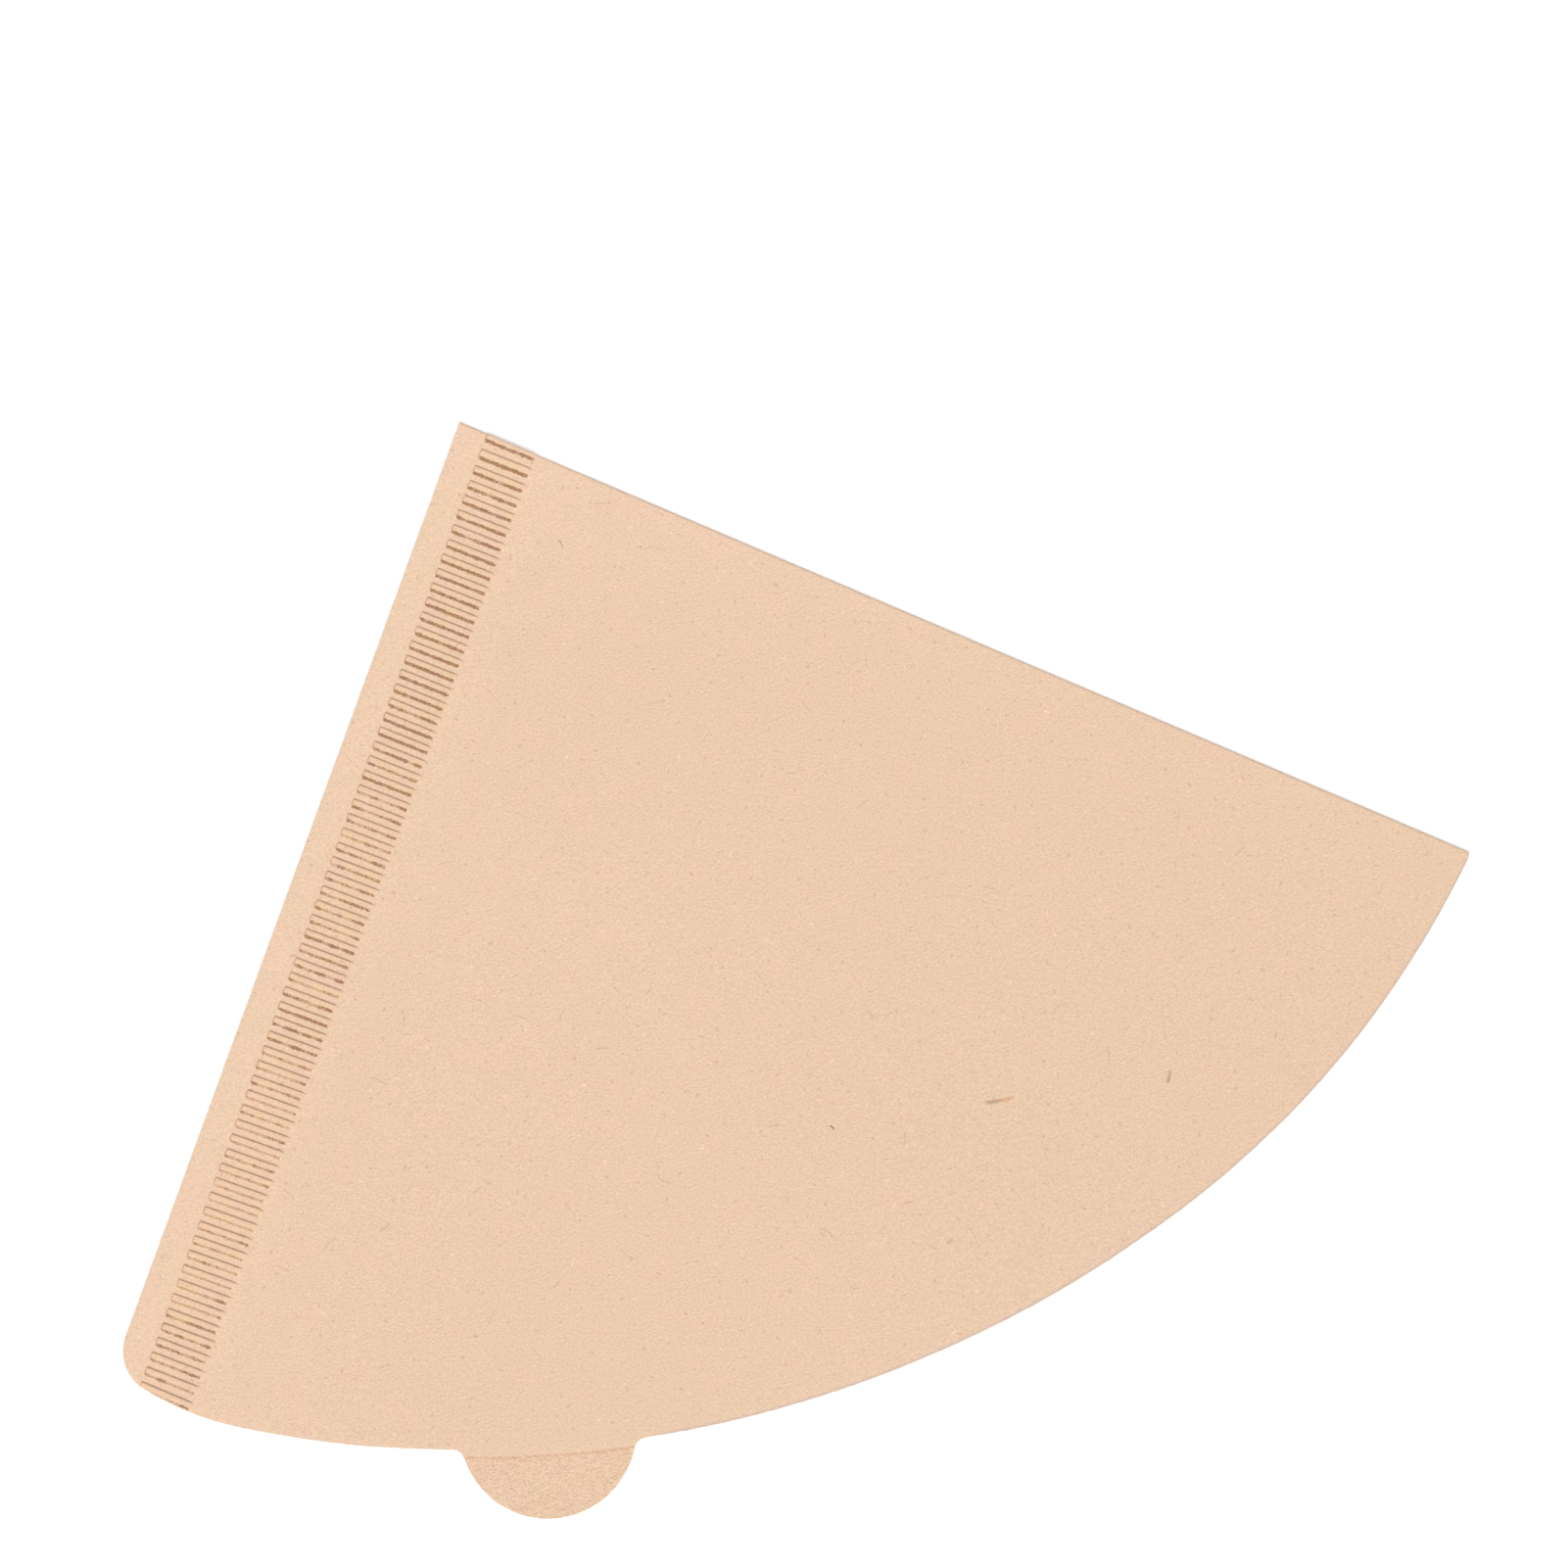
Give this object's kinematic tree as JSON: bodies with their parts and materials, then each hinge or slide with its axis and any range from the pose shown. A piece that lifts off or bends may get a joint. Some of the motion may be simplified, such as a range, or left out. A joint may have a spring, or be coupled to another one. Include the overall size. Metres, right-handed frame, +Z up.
{
  "type": "cone coffee filter",
  "caption": "Unbleached paper cone filter folded flat: one sheet, folded along one side, rib-crimped along the other, with an arc mouth and a round tab on the back ply.",
  "frame": {"origin": "on the underside, on the middle line of the flattened cone, halfway from the cone's point to the mouth", "axes": "+Z up through the sheet, from the back ply to the front ply; +Y along the middle of the cone towards its point; the crimped seam is on the -X side and the fold on the +X side"},
  "size_m": [0.1579, 0.1162, 0.0009],
  "materials": {
    "paper": "matt, fibrous, unbleached"
  },
  "bodies": {
    "root": {"filter": "paper"}
  },
  "joints": []
}
